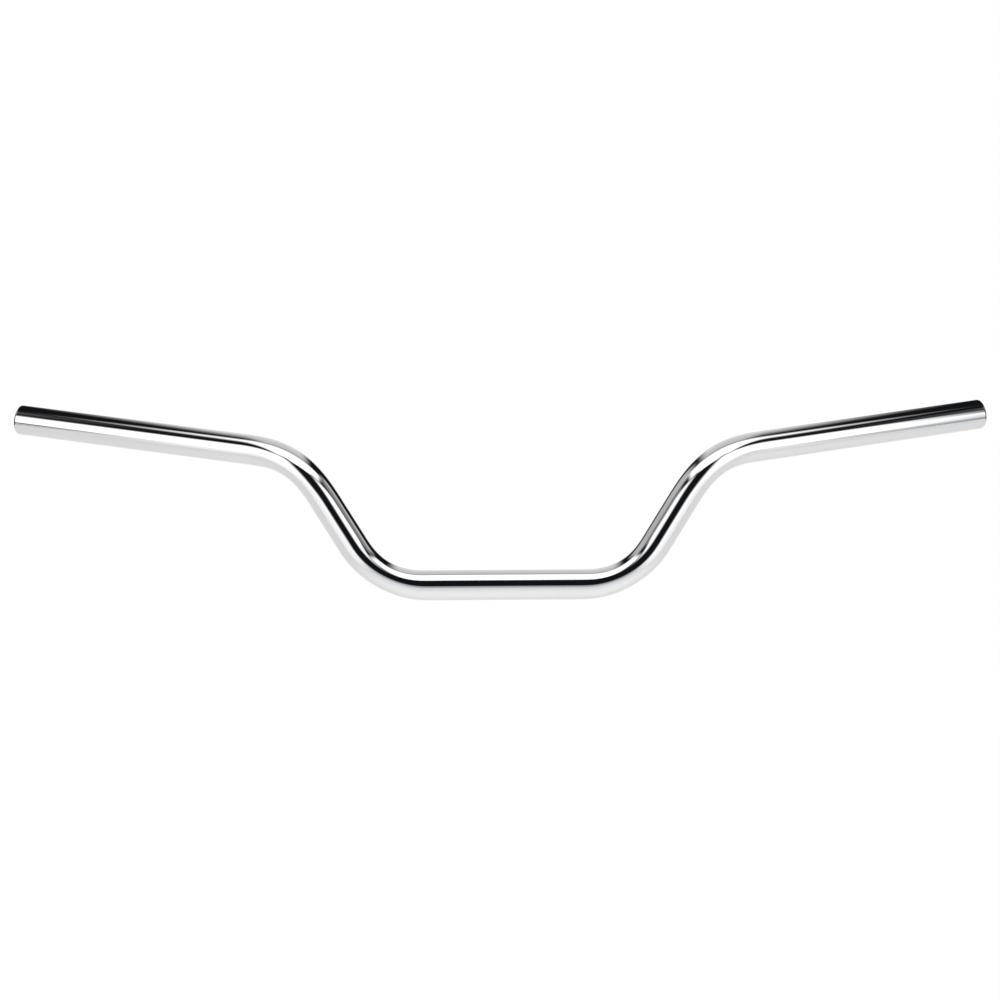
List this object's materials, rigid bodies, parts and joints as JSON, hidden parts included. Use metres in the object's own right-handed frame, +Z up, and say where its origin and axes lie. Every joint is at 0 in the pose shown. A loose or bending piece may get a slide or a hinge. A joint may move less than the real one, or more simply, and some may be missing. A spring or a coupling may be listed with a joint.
{
  "type": "tracker handlebar",
  "caption": "Bent steel tube handlebar with a level clamp run, angled risers and long grips swept back, open at its ends.",
  "frame": {"origin": "on the tube's axis in the middle of the clamp run", "axes": "+X along the clamp run towards the right-hand end as seen from the front, +Y rearwards, the way the grips sweep back, +Z up"},
  "size_m": [0.7368, 0.1154, 0.1481],
  "materials": {
    "bright_chrome": "bright polished chrome plate over steel"
  },
  "bodies": {
    "root": {"handlebar_tube": "bright_chrome"}
  },
  "joints": []
}
